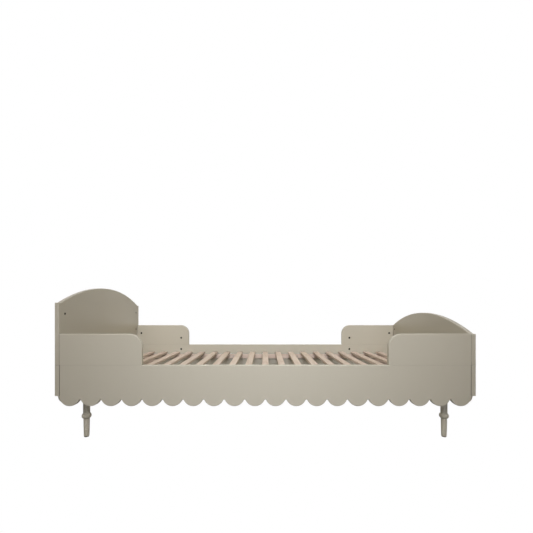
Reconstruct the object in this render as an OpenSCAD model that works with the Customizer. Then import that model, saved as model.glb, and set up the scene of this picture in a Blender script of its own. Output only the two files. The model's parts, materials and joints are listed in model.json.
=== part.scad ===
// Toddler bed with scalloped rails, arched end panels, four short guards and turned legs.
// Millimetres. X runs along the bed (headboard at -X), Y across it, Z up from the floor.
// The origin is on the floor, below the centre of the bed.

/* [Mattress space] */
// Clear length between the two ends
inner_l = 1620; // [1400:10:1900]
// Clear width between the two side rails
inner_w = 720; // [600:10:900]

/* [Boards] */
// Thickness of every painted board
board_t = 18; // [16:1:25]
// Radius of the rounded arrises
arris_r = 3; // [1:0.5:4]
// Radius of the smaller arris along the seams and joints
seam_r = 1; // [0.5:0.1:1.5]
// Width of the shadow groove where a side rail meets an end rail
groove_w = 2.4; // [1.6:0.1:3]
// Width of the finer groove round an end panel's joints
fine_groove_w = 1.2; // [0.6:0.1:1.6]
// Depth of the upright shadow grooves, in from the board's outer face
groove_depth = 5.5; // [3:0.1:5.6]
// Depth of the level shadow grooves under the ends of a panel
panel_groove_depth = 4.4; // [3:0.1:4.5]

/* [Rails] */
// Height of the rails' top edge above the floor
rail_top = 312; // [280:1:360]
// Straight height of a rail, above its scallops
rail_h = 121; // [115:1:150]
// Width aimed at for one scallop
scallop_w = 81; // [60:1:110]
// Radius of the cutter that rounds the notch between two scallops
notch_r = 4; // [2:0.5:8]

/* [End panels] */
// Height of the headboard's shoulders above the rails
head_h = 246; // [200:1:320]
// Width of the flat shoulder on each side of the arch
shoulder_w = 13; // [10:1:60]
// Rise of the arch above the shoulders
arch_rise = 81; // [50:1:120]

/* [Guards] */
// Length of a guard along the side rail
guard_l = 325; // [250:5:400]
// Height of a guard above the side rail
guard_h = 123; // [100:1:160]
// Radius of the guard's free upper corner
guard_r = 52; // [20:1:60]

/* [Slats and bearers] */
// Width of a slat
slat_w = 32; // [25:1:45]
// Thickness of a slat
slat_t = 12; // [10:1:18]
// Gap between each end of a slat and the side rail
slat_gap = 2; // [1:0.5:4]
// Depth from the rails' top edge down to the top of the slats
slat_drop = 43.5; // [35:0.5:50]
// Distance from an end panel to the middle of the first slat
slat_margin = 95; // [70:1:120]
// Thickness of the webbing tape under the slats
tape_t = 1; // [0.5:0.1:2]
// Width of the webbing tape
tape_w = 16; // [12:1:18]
// Height of a bearer
bearer_h = 28; // [22:1:30]
// Depth of a bearer, out from the side rail
bearer_d = 20; // [18:1:30]
// Gap between the end of a bearer and the end rail
bearer_inset = 40; // [35:1:60]
// Spacing of the bearer screws
bearer_pitch = 200; // [150:10:250]

/* [Legs] */
// Distance from the rails' inner faces to the axis of a leg
leg_inset = 62; // [55:0.5:68]
// Diameter of the leg above its bead
leg_d = 26; // [24:1:32]
// Diameter of the bead
bead_d = 36.5; // [34:0.5:44]
// Height of the middle of the bead above the floor
bead_z = 88; // [70:1:110]
// Height of the bead
bead_h = 26; // [18:1:30]
// Diameter of the leg just below the bead
taper_d = 23.5; // [22:0.5:28]
// Diameter of the leg at its foot
foot_d = 20.5; // [20:0.5:26]
// Thickness of the glide under a leg
glide_t = 3; // [2:0.5:6]
// Diameter of that glide
glide_d = 18; // [14:1:19]

/* [Corner blocks] */
// Height of a corner block
block_h = 30; // [24:1:30]
// Reach of a corner block along each rail
block_l = 130; // [120:1:150]
// Thickness of its ears, where the screws pass
ear_t = 24; // [20:1:30]
// Length cut off the block along each rail, to keep the corner clear
block_cut = 40; // [30:1:50]

/* [Fasteners] */
// Diameter of the connecting bolts and studs
bolt_d = 6; // [5:0.5:6]
// Diameter of the bolts' countersunk heads
bolt_head_d = 11; // [10:0.5:12]
// Diameter of the barrel nuts
nut_d = 12; // [9:0.5:13]
// Length of the barrel nuts
nut_l = 11; // [9:0.5:12]
// Depth at which a barrel nut lies below the board's face
nut_sunk = 3.5; // [2:0.5:4]
// Distance from a side rail's end to its barrel nuts
nut_inset = 20; // [15:1:30]
// Distance from an end panel to a guard's barrel nut
guard_nut_inset = 25; // [15:1:30]
// Distance from the rails' top edge down to the upper end joint
upper_joint = 27; // [20:1:34]
// Distance between the two end joints of a rail
joint_gap = 57; // [50:1:60]
// Distance from a guard's top edge down to its end joint
guard_joint = 50; // [35:1:60]
// Distance from a guard's free end to its stud
stud_inset = 48; // [40:1:80]
// Height of the stud's upper barrel nut above the rail's top edge
stud_up = 43; // [35:1:55]
// Depth of the stud's lower barrel nut below the rail's top edge
stud_down = 28; // [20:1:34]
// Diameter of the spare sockets in the end panels
socket_d = 10; // [8:0.5:12]
// Depth of the spare sockets
socket_depth = 13; // [10:0.5:13]
// Depth at which a socket's threaded sleeve lies below the panel's face
sleeve_sunk = 1; // [0.5:0.1:2]
// Distance from an end panel's side edge to its sockets
socket_inset = 37; // [35:1:55]
// Distance from a guard's top edge down to the lower socket
socket_low = 24; // [18:1:34]
// Distance between the headboard's two sockets
socket_gap = 103; // [90:1:120]
// Diameter of the wooden dowels
dowel_d = 8; // [6:1:8]
// Length of the wooden dowels
dowel_l = 40; // [30:1:50]
// Diameter of the wood screws
screw_d = 4; // [3:0.5:4.5]
// Diameter of the wood screws' heads
screw_head_d = 8; // [7:0.5:9]
// Depth to which a wood screw enters the board behind
screw_bite = 12; // [8:1:13]
// Diameter of the hanger bolts
hanger_d = 8; // [6:1:8]
// Depth of the hanger bolt in the leg
hanger_low = 40; // [30:1:50]
// Outer diameter of the threaded inserts
insert_d = 13; // [12:1:16]
// Length of the threaded inserts
insert_l = 20; // [15:1:22]
// Clearance around each fastener, on the radius
fit_gap = 0.15; // [0.1:0.05:0.3]

/* [Hidden] */
$fn = 64;

SLAT_N = 19;
GUARD_DOWELS = 2;
PANEL_DOWELS = 5;
PAINT = "#b9b29f";
TIMBER = "#dcc0a4";
STEEL = "#6f7073";
WEBBING = "#d9d4c6";
FELT = "#8d8a82";
OVER = 1;

// Overlap that lets the scallops and their webs cross cleanly
blend = 0.1;

half_l = inner_l / 2;
half_w = inner_w / 2;
outer_l = inner_l + 2 * board_t;
outer_w = inner_w + 2 * board_t;
mid_y = half_w + board_t / 2;

// Height of the line that the scallops hang from
spring_z = rail_top - rail_h;
guard_top = rail_top + guard_h;
side_scallops = round(inner_l / scallop_w);
side_r = inner_l / (2 * side_scallops);
end_scallops = round(inner_w / scallop_w);

// Radius of the arch, from its chord and its rise
arch_c = outer_w / 2 - shoulder_w;
arch_r = (arch_c * arch_c + arch_rise * arch_rise) / (2 * arch_rise);

slat_top = rail_top - slat_drop;
slat_z = slat_top - slat_t;
bearer_top = slat_z - tape_t;
slat_pitch = (inner_l - 2 * slat_margin) / (SLAT_N - 1);
bearer_l = inner_l - 2 * bearer_inset;
bearer_y = half_w - bearer_d / 2;
bearer_side = floor((bearer_l / 2 - bearer_h / 2) / bearer_pitch);

leg_x = half_l - leg_inset;
leg_y = half_w - leg_inset;
ear_x = block_l - ear_t / 2;

bolt_r = bolt_d / 2;
bolt_head_h = (bolt_head_d - bolt_d) / 2;
nut_r = nut_d / 2;
// Middle of a barrel nut, in from the board's inner face
nut_mid = nut_sunk + nut_l / 2;
nut_slot_w = nut_d / 7;
bolt_l = board_t + nut_inset + nut_r;
guard_bolt_l = board_t + guard_nut_inset + nut_r;
bolt_y = half_w + nut_mid;
joint_high = rail_top - upper_joint;
joint_low = joint_high - joint_gap;
guard_joint_z = guard_top - guard_joint;
socket_z = guard_top - socket_low;
nut_x = half_l - nut_inset;
guard_nut_x = half_l - guard_nut_inset;
guard_end = half_l - guard_l;
stud_x = guard_end + stud_inset;
stud_low_z = rail_top - stud_down;
stud_high_z = rail_top + stud_up;
screw_r = screw_d / 2;
screw_head_h = (screw_head_d - screw_d) / 2;
dowel_gap = outer_w / PANEL_DOWELS;
guard_dowel_gap = (guard_l - stud_inset) / (GUARD_DOWELS + 1);

// ---- Shared shapes ----

// Rectangle centred on the origin with its lower and upper corners rounded
module eased_rect(w, h, low, high) {
    core = max(low, high);
    square([w - 2 * core, h], center = true);
    translate([0, (low - high) / 2])
        square([w, h - low - high], center = true);
    for (s = [-1, 1]) {
        eased_corner(s, -1, w, h, low, core);
        eased_corner(s, 1, w, h, high, core);
    }
}

// Round corner of an eased rectangle, and the strip beside the smaller radius
module eased_corner(s, end, w, h, r, core) {
    if (r > 0)
        translate([s * (w / 2 - r), end * (h / 2 - r)])
            circle(r);
    if (core > r)
        translate([s * (w / 2 - (core + r) / 2), end * (h / 2 - core / 2)])
            square([core - r, core], center = true);
}

// End board, size [x, y, z], standing on z = 0, with its joint's arrises at -X
module eased_board(size, low, high) {
    intersection() {
        linear_extrude(size.z)
            rotate([0, 0, 90])
                eased_rect(size.y, size.x, arris_r, seam_r);
        translate([0, 0, size.z / 2])
            rotate([90, 0, 0])
                linear_extrude(size.y + 2 * OVER, center = true)
                    eased_rect(size.x, size.z, low, high);
        translate([0, 0, size.z / 2])
            rotate([90, 0, 90])
                linear_extrude(size.x + 2 * OVER, center = true)
                    eased_rect(size.y, size.z, low, high);
    }
}

// Half section of a disc of board, with its rim rounded
module rim_section(r) {
    translate([0, -board_t / 2])
        square([r - arris_r, board_t]);
    translate([0, arris_r - board_t / 2])
        square([r, board_t - 2 * arris_r]);
    for (s = [-1, 1])
        translate([r - arris_r, s * (board_t / 2 - arris_r)])
            circle(arris_r);
}

// Disc of board about the Y axis, with its rim rounded
module eased_disc(r) {
    rotate([90, 0, 0])
        rotate_extrude()
            rim_section(r);
}

// Cutter about the Y axis that leaves a rounded arris on both faces of a board
module flared_cutter(r) {
    face = board_t / 2;
    rotate([90, 0, 0])
        rotate_extrude() {
            translate([0, -face]) square([r, board_t]);
            for (s = [-1, 1]) {
                difference() {
                    translate([0, s * (face - arris_r / 2) - arris_r / 2])
                        square([r + arris_r, arris_r]);
                    translate([r + arris_r, s * (face - arris_r)])
                        circle(arris_r);
                }
                translate([0, s * (face + OVER / 2) - OVER / 2])
                    square([r + arris_r, OVER]);
            }
        }
}

// Web that joins two neighbouring scallops and rounds the notch between them
module scallop_web(r) {
    deep = sqrt((r + notch_r) * (r + notch_r) - r * r);
    difference() {
        rotate([90, 0, 0])
            linear_extrude(board_t, center = true)
                polygon([[-r, 0], [-r, OVER], [r, OVER], [r, 0], [0, -deep]]);
        translate([0, 0, -deep])
            flared_cutter(notch_r + blend);
    }
}

// Row of n scallops along X, hanging from z = 0
module scallop_row(length, n) {
    r = length / (2 * n);
    for (i = [0 : n - 1])
        translate([(2 * i + 1 - n) * r, 0, 0])
            eased_disc(r - blend / 2);
    for (i = [1 : n - 1])
        translate([(2 * i - n) * r, 0, 0])
            scallop_web(r);
}

// Tool that rounds the arris at +Y, +Z of a block, along X
module arris_cutter(length, r) {
    difference() {
        translate([-length / 2, -r, -r])
            cube([length, r + OVER, r + OVER]);
        translate([0, -r, -r])
            rotate([0, 90, 0])
                cylinder(h = length + 2 * OVER, r = r, center = true);
    }
}

// Tool for the upright shadow groove at the +X end of a side board, at +Y
module end_groove_cutter(width, low, height) {
    translate([half_l - width, outer_w / 2 - groove_depth, low])
        cube([width + OVER, groove_depth + OVER, height]);
}

// Bolt or screw along -Z with its countersunk head's face on z = 0
module countersunk(length, r, head_r, head_h, grow) {
    translate([0, 0, -length - grow])
        cylinder(h = length + grow, r = r + grow);
    translate([0, 0, -head_h - grow])
        cylinder(h = head_h + grow, r1 = r + grow, r2 = head_r + grow);
}

// Connecting bolt with a hexagon socket
module bolt(length) {
    difference() {
        countersunk(length, bolt_r, bolt_head_d / 2, bolt_head_h, 0);
        translate([0, 0, -bolt_head_h])
            cylinder(h = bolt_head_h + OVER, r = bolt_r * 0.75, $fn = 6);
    }
}

// Wood screw with a plain cross recess
module screw(length) {
    arm = screw_head_d * 0.6;
    slot = screw_d * 0.25;
    difference() {
        countersunk(length, screw_r, screw_head_d / 2, screw_head_h, 0);
        for (a = [0, 90])
            rotate([0, 0, a])
                cube([arm, slot, screw_head_h], center = true);
    }
}

module screw_hole(length) {
    countersunk(length, screw_r, screw_head_d / 2, screw_head_h, fit_gap);
}

// Barrel nut along Y, its slotted end towards -Y, with its thread along Z
module barrel_nut() {
    difference() {
        rotate([90, 0, 0])
            cylinder(h = nut_l, r = nut_r, center = true);
        cylinder(h = nut_d + 2 * OVER, r = bolt_r + fit_gap, center = true);
        translate([0, -nut_l / 2, 0])
            cube([nut_d + 2 * OVER, nut_slot_w, nut_slot_w], center = true);
    }
}

// Blind hole for a barrel nut, from the inner face at y = 0 into +Y
module nut_hole() {
    rotate([-90, 0, 0])
        translate([0, 0, -OVER])
            cylinder(h = nut_sunk + nut_l + OVER, r = nut_r + fit_gap);
}

// Places its children at all four corners; drawn at +X, +Y
module four_corners() {
    for (x = [0, 1], y = [0, 1])
        mirror([x, 0, 0])
            mirror([0, y, 0])
                children();
}

module at_corner(head, front) {
    mirror([head, 0, 0])
        mirror([0, front, 0])
            children();
}

// ---- Painted boards ----

// Side rail at +Y
module side_rail() {
    opening = 2 * guard_end;
    color(PAINT)
        difference() {
            translate([0, mid_y, spring_z]) {
                linear_extrude(rail_h)
                    square([inner_l, board_t], center = true);
                scallop_row(inner_l, side_scallops);
            }
            for (s = [0, 1])
                translate([0, mid_y, rail_top])
                    mirror([0, s, 0])
                        translate([0, board_t / 2, 0]) {
                            arris_cutter(opening, arris_r);
                            arris_cutter(inner_l + 2 * OVER, seam_r);
                        }
            for (s = [0, 1])
                mirror([s, 0, 0]) {
                    end_groove_cutter(groove_w, spring_z - side_r, rail_top);
                    rail_end_holes();
                    guard_seat_holes();
                    block_screws_along_y(fit_gap);
                }
            bearer_screw_row(fit_gap);
        }
}

// Bores and barrel-nut holes for the two end joints of a side rail
module rail_end_holes() {
    depth = nut_inset + nut_r + OVER;
    for (z = [joint_low, joint_high]) {
        translate([half_l - depth, bolt_y, z])
            rotate([0, 90, 0])
                cylinder(h = depth + OVER, r = bolt_r + fit_gap);
        translate([nut_x, half_w, z])
            nut_hole();
    }
}

// Holes for a guard's stud and dowels in the top edge of the side rail
module guard_seat_holes() {
    stud_depth = stud_down + nut_r + OVER;
    translate([stud_x, bolt_y, rail_top - stud_depth])
        cylinder(h = stud_depth + OVER, r = bolt_r + fit_gap);
    translate([stud_x, half_w, stud_low_z])
        nut_hole();
    guard_dowel_row(fit_gap);
}

module side_rail_back() {
    side_rail();
}

module side_rail_front() {
    mirror([0, 1, 0])
        side_rail();
}

// End rail at +X
module end_rail_foot() {
    color(PAINT)
        difference() {
            union() {
                translate([half_l + board_t / 2, 0, spring_z])
                    eased_board([board_t, outer_w, rail_h], 0, seam_r);
                translate([half_l + board_t / 2, 0, spring_z])
                    rotate([0, 0, 90])
                        scallop_row(inner_w, end_scallops);
            }
            for (s = [0, 1])
                mirror([0, s, 0]) {
                    for (z = [joint_low, joint_high])
                        end_bolt_place(z)
                            bolt_hole(bolt_l);
                    block_screws_along_x(fit_gap);
                }
            panel_dowel_row(fit_gap);
        }
}

// Tool for the level shadow grooves under the ends of a panel, closed at its outer face
module panel_groove_cutter() {
    for (s = [0, 1])
        mirror([0, s, 0])
            translate([half_l - OVER, outer_w / 2 - panel_groove_depth, rail_top - OVER])
                cube([
                    board_t - arris_r + OVER,
                    panel_groove_depth + OVER,
                    fine_groove_w + OVER
                ]);
}

module end_rail_head() {
    mirror([1, 0, 0])
        end_rail_foot();
}

// Puts a bolt's head on the outer face of the end, above one side board
module end_bolt_place(z) {
    translate([half_l + board_t, bolt_y, z])
        rotate([0, 90, 0])
            children();
}

module bolt_hole(length) {
    countersunk(length, bolt_r, bolt_head_d / 2, bolt_head_h, fit_gap);
}

// Arched panel at +X that stands on the end rail
module end_panel(side_h, sockets) {
    centre_z = rail_top + side_h + arch_rise - arch_r;
    color(PAINT)
        difference() {
            translate([half_l + board_t / 2, 0, 0]) {
                translate([0, 0, rail_top])
                    eased_board([board_t, outer_w, side_h], seam_r, arris_r);
                intersection() {
                    translate([0, 0, centre_z])
                        rotate([0, 0, 90])
                            eased_disc(arch_r);
                    translate([0, 0, rail_top + side_h])
                        cube([board_t, outer_w - 2 * arris_r, 2 * arch_rise + OVER],
                            center = true);
                }
            }
            for (s = [0, 1])
                mirror([0, s, 0]) {
                    end_bolt_place(guard_joint_z)
                        bolt_hole(guard_bolt_l);
                    for (z = sockets)
                        socket_place(z)
                            translate([0, 0, -OVER])
                                cylinder(h = socket_depth + OVER, d = socket_d);
                }
            panel_dowel_row(fit_gap);
            panel_groove_cutter();
        }
}

// Puts a socket's mouth on the inner face of the end panel at +X, beside +Y
module socket_place(z) {
    translate([half_l, outer_w / 2 - socket_inset, z])
        rotate([0, 90, 0])
            children();
}

module headboard_panel() {
    mirror([1, 0, 0])
        end_panel(head_h, [socket_z, socket_z + socket_gap]);
}

module footboard_panel() {
    end_panel(guard_h, [socket_z]);
}

// Guard at the +X, +Y corner
module guard() {
    corner_x = guard_end + guard_r;
    corner_z = guard_top - guard_r;
    body_l = half_l - corner_x;
    color(PAINT)
        difference() {
            union() {
                translate([corner_x + body_l / 2, mid_y, rail_top + guard_h / 2])
                    rotate([90, 0, 90])
                        linear_extrude(body_l, center = true)
                            eased_rect(board_t, guard_h, 0, arris_r);
                translate([corner_x, mid_y, rail_top])
                    linear_extrude(guard_h - guard_r)
                        rotate([0, 0, 90])
                            translate([0, guard_r / 2 - arris_r / 2])
                                eased_rect(board_t, guard_r + arris_r, 0, arris_r);
                translate([corner_x, mid_y, corner_z])
                    eased_disc(guard_r);
            }
            end_bolt_place(guard_joint_z)
                bolt_hole(guard_bolt_l);
            translate([guard_nut_x, half_w, guard_joint_z])
                nut_hole();
            end_groove_cutter(fine_groove_w, rail_top - OVER, guard_h + 2 * OVER);
            for (s = [0, 1])
                translate([guard_end + guard_l / 2, mid_y, rail_top])
                    mirror([0, s, 0])
                        translate([0, board_t / 2, 0])
                            mirror([0, 0, 1])
                                arris_cutter(guard_l + 2 * OVER, seam_r);
            translate([stud_x, bolt_y, rail_top - OVER])
                cylinder(h = stud_up + nut_r + 2 * OVER, r = bolt_r + fit_gap);
            translate([stud_x, half_w, stud_high_z])
                nut_hole();
            guard_dowel_row(fit_gap);
        }
}

module guard_back_foot() { at_corner(0, 0) guard(); }
module guard_back_head() { at_corner(1, 0) guard(); }
module guard_front_foot() { at_corner(0, 1) guard(); }
module guard_front_head() { at_corner(1, 1) guard(); }

// ---- Timber ----

module bearer_back() {
    color(TIMBER)
        difference() {
            translate([-bearer_l / 2, half_w - bearer_d, bearer_top - bearer_h])
                cube([bearer_l, bearer_d, bearer_h]);
            bearer_screw_row(fit_gap);
            slat_screw_pair(fit_gap);
        }
}

module bearer_front() {
    mirror([0, 1, 0])
        bearer_back();
}

module slat_tape_back() {
    tape_l = inner_l - 2 * slat_margin + slat_w;
    color(WEBBING)
        difference() {
            translate([-tape_l / 2, bearer_y - tape_w / 2, bearer_top])
                cube([tape_l, tape_w, tape_t]);
            slat_screw_pair(fit_gap);
        }
}

module slat_tape_front() {
    mirror([0, 1, 0])
        slat_tape_back();
}

// Slat number i, counted from the headboard
module slat(i) {
    slat_l = inner_w - 2 * slat_gap;
    x = (i - (SLAT_N + 1) / 2) * slat_pitch;
    color(TIMBER)
        difference() {
            translate([x, 0, slat_z + slat_t / 2])
                rotate([90, 0, 0])
                    linear_extrude(slat_l, center = true)
                        eased_rect(slat_w, slat_t, arris_r / 2, arris_r / 2);
            if (i == 1 || i == SLAT_N)
                for (s = [0, 1])
                    mirror([0, s, 0])
                        slat_screw_pair(fit_gap);
        }
}

// Block in the +X, +Y corner that carries a leg
module corner_block() {
    far = block_l;
    outline = [
        [block_cut, 0], [far, 0], [far, ear_t],
        [ear_t, far], [0, far], [0, block_cut]
    ];
    color(TIMBER)
        difference() {
            translate([half_l, half_w, spring_z])
                mirror([1, 0, 0])
                    mirror([0, 1, 0])
                        linear_extrude(block_h)
                            polygon(outline);
            translate([leg_x, leg_y, spring_z - OVER])
                cylinder(h = insert_l + OVER, r = insert_d / 2 + fit_gap);
            translate([leg_x, leg_y, spring_z])
                cylinder(h = block_h + OVER, r = hanger_d / 2 + fit_gap);
            block_screws_along_y(fit_gap);
            block_screws_along_x(fit_gap);
        }
}

module corner_block_back_foot() { at_corner(0, 0) corner_block(); }
module corner_block_back_head() { at_corner(1, 0) corner_block(); }
module corner_block_front_foot() { at_corner(0, 1) corner_block(); }
module corner_block_front_head() { at_corner(1, 1) corner_block(); }

// Turned leg at the +X, +Y corner
module leg() {
    bead_tube = bead_h / 2;
    shaft_top = bead_z - bead_tube / 2;
    color(PAINT)
        translate([leg_x, leg_y, 0])
            difference() {
                union() {
                    translate([0, 0, glide_t])
                        cylinder(h = shaft_top - glide_t, d1 = foot_d, d2 = taper_d);
                    translate([0, 0, bead_z])
                        rotate_extrude()
                            bead_section(bead_tube);
                    translate([0, 0, bead_z])
                        cylinder(h = spring_z - bead_z, d = leg_d);
                }
                translate([0, 0, spring_z - hanger_low])
                    cylinder(h = hanger_low + OVER, r = hanger_d / 2 + fit_gap);
            }
}

// Half section of the bead: a solid core with a round bulge
module bead_section(tube) {
    reach = bead_d / 2;
    translate([0, -tube])
        square([reach - tube, 2 * tube]);
    intersection() {
        translate([reach - tube, 0]) circle(tube);
        translate([0, -tube]) square([reach, 2 * tube]);
    }
}

module leg_back_foot() { at_corner(0, 0) leg(); }
module leg_back_head() { at_corner(1, 0) leg(); }
module leg_front_foot() { at_corner(0, 1) leg(); }
module leg_front_head() { at_corner(1, 1) leg(); }

// ---- Fasteners and small parts ----

module leg_glides() {
    color(FELT)
        four_corners()
            translate([leg_x, leg_y, 0])
                cylinder(h = glide_t, d = glide_d);
}

module hanger_bolts() {
    color(STEEL)
        four_corners()
            translate([leg_x, leg_y, spring_z - hanger_low])
                cylinder(h = hanger_low + block_h, d = hanger_d);
}

module insert_nuts() {
    color(STEEL)
        four_corners()
            translate([leg_x, leg_y, spring_z])
                difference() {
                    cylinder(h = insert_l, d = insert_d);
                    translate([0, 0, -OVER])
                        cylinder(h = insert_l + 2 * OVER, r = hanger_d / 2 + fit_gap);
                }
}

module rail_bolts() {
    color(STEEL)
        four_corners()
            for (z = [joint_low, joint_high])
                end_bolt_place(z)
                    bolt(bolt_l);
}

module guard_bolts() {
    color(STEEL)
        four_corners()
            end_bolt_place(guard_joint_z)
                bolt(guard_bolt_l);
}

// Barrel nut whose thread lies along the bed
module end_nut(x, z) {
    translate([x, bolt_y, z])
        rotate([0, 90, 0])
            barrel_nut();
}

module rail_barrel_nuts() {
    color(STEEL)
        four_corners()
            for (z = [joint_low, joint_high])
                end_nut(nut_x, z);
}

module guard_barrel_nuts() {
    color(STEEL)
        four_corners()
            end_nut(guard_nut_x, guard_joint_z);
}

module guard_studs() {
    stud_low = stud_low_z - nut_r;
    color(STEEL)
        four_corners()
            translate([stud_x, bolt_y, stud_low])
                cylinder(h = stud_high_z + nut_r - stud_low, r = bolt_r);
}

module stud_barrel_nuts() {
    color(STEEL)
        four_corners()
            for (z = [stud_low_z, stud_high_z])
                translate([stud_x, bolt_y, z])
                    barrel_nut();
}

// Threaded sleeve for a spare socket
module socket_sleeve() {
    difference() {
        translate([0, 0, sleeve_sunk])
            cylinder(h = socket_depth - sleeve_sunk, r = socket_d / 2 - fit_gap);
        translate([0, 0, -OVER])
            cylinder(h = socket_depth + 2 * OVER, r = bolt_r + fit_gap);
    }
}

module socket_sleeves() {
    color(STEEL)
        for (s = [0, 1])
            mirror([0, s, 0]) {
                socket_place(socket_z)
                    socket_sleeve();
                mirror([1, 0, 0])
                    for (z = [socket_z, socket_z + socket_gap])
                        socket_place(z)
                            socket_sleeve();
            }
}

// Dowels between a guard and its side rail, drawn at +X, +Y
module guard_dowel_row(grow) {
    for (i = [1 : GUARD_DOWELS])
        translate([half_l - i * guard_dowel_gap, mid_y, rail_top])
            cylinder(h = dowel_l + 2 * grow, d = dowel_d + 2 * grow, center = true);
}

module guard_dowels() {
    color(TIMBER)
        four_corners()
            guard_dowel_row(0);
}

// Dowels between an end panel and its end rail, drawn at +X
module panel_dowel_row(grow) {
    for (i = [0 : PANEL_DOWELS - 1])
        translate([half_l + board_t / 2, (i - (PANEL_DOWELS - 1) / 2) * dowel_gap, rail_top])
            cylinder(h = dowel_l + 2 * grow, d = dowel_d + 2 * grow, center = true);
}

module panel_dowels() {
    color(TIMBER)
        for (s = [0, 1])
            mirror([s, 0, 0])
                panel_dowel_row(0);
}

// Screws or their holes through the back bearer into its side rail
module bearer_screw_row(grow) {
    for (i = [-bearer_side : bearer_side])
        translate([i * bearer_pitch, half_w - bearer_d, bearer_top - bearer_h / 2])
            rotate([90, 0, 0])
                wood_screw(bearer_d + screw_bite, grow);
}

module wood_screw(length, grow) {
    if (grow > 0)
        screw_hole(length);
    else
        screw(length);
}

module bearer_screws() {
    color(STEEL)
        for (s = [0, 1])
            mirror([0, s, 0])
                bearer_screw_row(0);
}

// Screws or their holes through a block's ear into the side rail, at +X, +Y
module block_screws_along_y(grow) {
    for (z = [1, 3])
        translate([half_l - ear_x, half_w - ear_t, spring_z + z * block_h / 4])
            rotate([90, 0, 0])
                wood_screw(ear_t + screw_bite, grow);
}

// Screws or their holes through a block's ear into the end rail, at +X, +Y
module block_screws_along_x(grow) {
    for (z = [1, 3])
        translate([half_l - ear_t, half_w - ear_x, spring_z + z * block_h / 4])
            rotate([0, -90, 0])
                wood_screw(ear_t + screw_bite, grow);
}

module block_screws() {
    color(STEEL)
        four_corners() {
            block_screws_along_y(0);
            block_screws_along_x(0);
        }
}

// Screws or their holes at the two end slats, over the back bearer
module slat_screw_pair(grow) {
    for (s = [-1, 1])
        translate([s * (half_l - slat_margin), bearer_y, slat_top])
            wood_screw(slat_t + tape_t + screw_bite, grow);
}

module slat_screws() {
    color(STEEL)
        for (s = [0, 1])
            mirror([0, s, 0])
                slat_screw_pair(0);
}

side_rail_front();
side_rail_back();
end_rail_head();
end_rail_foot();
headboard_panel();
footboard_panel();
guard_front_head();
guard_front_foot();
guard_back_head();
guard_back_foot();
bearer_front();
bearer_back();
slat_tape_front();
slat_tape_back();
slat(1);  // slat_01
slat(2);  // slat_02
slat(3);  // slat_03
slat(4);  // slat_04
slat(5);  // slat_05
slat(6);  // slat_06
slat(7);  // slat_07
slat(8);  // slat_08
slat(9);  // slat_09
slat(10);  // slat_10
slat(11);  // slat_11
slat(12);  // slat_12
slat(13);  // slat_13
slat(14);  // slat_14
slat(15);  // slat_15
slat(16);  // slat_16
slat(17);  // slat_17
slat(18);  // slat_18
slat(19);  // slat_19
corner_block_front_head();
corner_block_front_foot();
corner_block_back_head();
corner_block_back_foot();
leg_front_head();
leg_front_foot();
leg_back_head();
leg_back_foot();
leg_glides();
hanger_bolts();
insert_nuts();
rail_bolts();
rail_barrel_nuts();
guard_bolts();
guard_barrel_nuts();
guard_studs();
stud_barrel_nuts();
socket_sleeves();
guard_dowels();
panel_dowels();
bearer_screws();
block_screws();
slat_screws();
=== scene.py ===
"""Looks, light and camera for the toddler bed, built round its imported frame.

The painted boards and the fastenings are the frame's own solids with new finishes.
The turned legs, the slats, the bearers and the corner blocks are made here, because
real ones have softer edges and small irregularities that the solids leave out.
"""

import json
import logging
import math
import random
from dataclasses import dataclass, field, replace
from enum import Enum
from typing import Callable, Iterable, Sequence

import bmesh
import bpy
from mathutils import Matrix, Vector

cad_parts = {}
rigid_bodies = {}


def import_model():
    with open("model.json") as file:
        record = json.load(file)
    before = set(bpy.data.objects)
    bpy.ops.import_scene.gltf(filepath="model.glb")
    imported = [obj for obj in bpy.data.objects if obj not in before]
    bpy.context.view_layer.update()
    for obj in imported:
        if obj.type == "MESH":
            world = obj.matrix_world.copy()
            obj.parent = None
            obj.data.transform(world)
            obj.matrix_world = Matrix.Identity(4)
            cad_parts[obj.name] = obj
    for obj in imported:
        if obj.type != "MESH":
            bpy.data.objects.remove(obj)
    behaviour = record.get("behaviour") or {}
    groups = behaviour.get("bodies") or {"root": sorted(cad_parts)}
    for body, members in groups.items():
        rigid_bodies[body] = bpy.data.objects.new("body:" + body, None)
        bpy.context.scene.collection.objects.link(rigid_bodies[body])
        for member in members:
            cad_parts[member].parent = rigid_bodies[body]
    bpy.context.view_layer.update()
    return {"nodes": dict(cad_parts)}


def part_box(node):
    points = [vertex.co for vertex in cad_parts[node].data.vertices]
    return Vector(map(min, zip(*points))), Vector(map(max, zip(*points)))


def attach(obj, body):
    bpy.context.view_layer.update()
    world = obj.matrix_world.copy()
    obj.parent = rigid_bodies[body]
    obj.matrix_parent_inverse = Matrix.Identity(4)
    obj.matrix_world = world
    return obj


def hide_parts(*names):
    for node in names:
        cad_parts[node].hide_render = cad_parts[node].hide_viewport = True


for leftover in list(bpy.data.objects):
    bpy.data.objects.remove(leftover, do_unlink=True)

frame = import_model()

MM = 0.001
BODY = "root"

Colour = tuple[float, float, float]
Point = tuple[float, float, float]
Span = tuple[float, float]
Profile = list[tuple[float, float]]

# Largest part of the normal on a full arris and on a flat.
ARRIS_RANGE: Span = (0.90, 0.995)
# Openness deep in a joint and on an open face.
CREVICE_RANGE: Span = (0.15, 0.85)
CREVICE_SAMPLES = 12
# Values that most of a fine noise pattern lies between.
NOISE_CORE: Span = (0.3, 0.7)
# Angle that a wave pattern turns through over one unit of its scaled position.
WAVE_TURN = 20.0
# How far the large faces of a piece outweigh the small ones in its shading.
FLAT_WEIGHT = 100

log = logging.getLogger("toddler_bed")


class GrainAxis(Enum):
    """Row axis that the wood fibres of a piece run along."""

    LENGTH = 0
    WIDTH = 1
    HEIGHT = 2


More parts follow.
